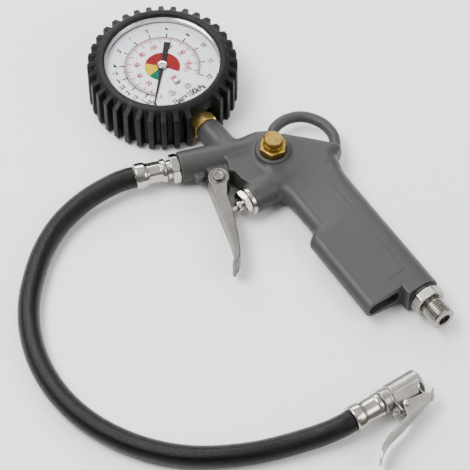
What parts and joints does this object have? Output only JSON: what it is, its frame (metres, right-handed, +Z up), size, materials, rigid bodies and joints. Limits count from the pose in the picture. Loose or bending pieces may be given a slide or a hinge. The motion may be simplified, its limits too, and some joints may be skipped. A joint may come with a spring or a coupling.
{
  "type": "tyre inflator with gauge",
  "caption": "Pistol grip tyre inflator with a booted round pressure gauge, a bleed button, a squeeze trigger and a short hose that ends in a clip-on tyre chuck.",
  "frame": {"origin": "on the surface it lies on, under the middle of the gun and gauge (the hose and chuck left out)", "axes": "+Z up, out of the dial and bleed button; +Y towards the gauge; -X along the barrel towards the hose; the grip runs towards -Y"},
  "size_m": [0.2245, 0.3102, 0.0305],
  "materials": {
    "grey_casting": "satin",
    "nickel": "gloss",
    "satin_nickel": "satin",
    "steel": "satin",
    "yellow_zinc": "gloss",
    "brass": "polished",
    "boot_rubber": "matte",
    "hose_rubber": "satin",
    "seal_rubber": "matte",
    "dial_white": "satin",
    "pointer_black": "satin",
    "clear_lens": "gloss"
  },
  "bodies": {
    "gun": {"body_casting": "grey_casting", "trigger_pivot_pin": "nickel", "trigger_pin_clip": "steel", "valve_gland_nut": "nickel", "valve_gland_packing": "seal_rubber", "valve_seat_ring": "brass", "valve_spring": "steel", "bleed_gland_nut": "yellow_zinc", "bleed_button_seal": "seal_rubber", "bleed_spring": "steel", "inlet_nipple": "nickel", "inlet_seal_washer": "seal_rubber", "hose_hex_fitting": "nickel", "hose_ferrule_gun": "nickel", "air_hose": "hose_rubber", "hose_ferrule_chuck": "nickel", "chuck_body": "satin_nickel", "chuck_seal": "seal_rubber", "chuck_depressor": "brass", "chuck_lever_pin": "steel", "chuck_lever_spring": "steel", "gauge_boot": "boot_rubber", "gauge_case": "steel", "gauge_bezel": "steel", "gauge_lens": "clear_lens", "gauge_dial": "dial_white", "pointer_stop_pin": "nickel", "dial_screw_left": "nickel", "dial_screw_right": "nickel", "gauge_socket": "brass", "gauge_stem_washer": "seal_rubber", "bourdon_tube": "brass", "movement_plate_lower": "brass", "movement_plate_upper": "brass", "movement_pillar_block": "brass", "movement_pillar_sector": "brass", "hairspring": "steel"},
    "trigger": {"trigger_lever": "satin_nickel"},
    "valve_stem": {"valve_stem": "nickel", "poppet_seal": "seal_rubber"},
    "bleed_button": {"bleed_button": "yellow_zinc"},
    "sector": {"sector_gear": "brass"},
    "pointer": {"gauge_pointer": "pointer_black", "pointer_arbor": "brass"},
    "link": {"bourdon_link": "steel"},
    "clip_lever": {"chuck_clip_lever": "satin_nickel"}
  },
  "joints": [
    {"name": "trigger_pull", "type": "hinge", "parent": "gun", "child": "trigger", "pos_m": [-0.02234, 0.00052, 0.01], "axis": [0, 0, 1], "range_deg": [0, 13], "stiffness_Nm_per_rad": 0.8, "deforming": ["valve_spring"]},
    {"name": "valve_stem_slide", "type": "slide", "parent": "gun", "child": "valve_stem", "axis": [0.9455, 0.3256, 0], "range_m": [0, 0.005], "deforming": ["valve_spring"]},
    {"name": "bleed_press", "type": "slide", "parent": "gun", "child": "bleed_button", "axis": [0, 0, -1], "range_m": [0, 0.0025], "stiffness_N_per_m": 1500, "deforming": ["bleed_spring"]},
    {"name": "sector_turn", "type": "hinge", "parent": "gun", "child": "sector", "pos_m": [-0.02955, 0.0934, 0.015], "axis": [0, 0, 1], "range_deg": [0, 34.75], "stiffness_Nm_per_rad": 0.0008},
    {"name": "pointer_turn", "type": "hinge", "parent": "gun", "child": "pointer", "pos_m": [-0.03434, 0.07792, 0.024], "axis": [0, 0, 1], "range_deg": [-278, 0], "deforming": ["hairspring"]},
    {"name": "link_turn", "type": "hinge", "parent": "sector", "child": "link", "pos_m": [-0.02525, 0.09206, 0.0168], "axis": [0, 0, 1], "range_deg": [-34.75, 0]},
    {"name": "chuck_lever_squeeze", "type": "hinge", "parent": "gun", "child": "clip_lever", "pos_m": [0.03394, -0.16185, 0.0086], "axis": [0, 0, 1], "range_deg": [-22, 0], "stiffness_Nm_per_rad": 0.4, "deforming": ["chuck_lever_spring"]}
  ],
  "couplings": [
    {"joint": "valve_stem_slide", "follows": "trigger_pull", "m_per_rad": 0.019},
    {"joint": "pointer_turn", "follows": "sector_turn", "ratio": -8},
    {"joint": "link_turn", "follows": "sector_turn", "ratio": -1}
  ]
}
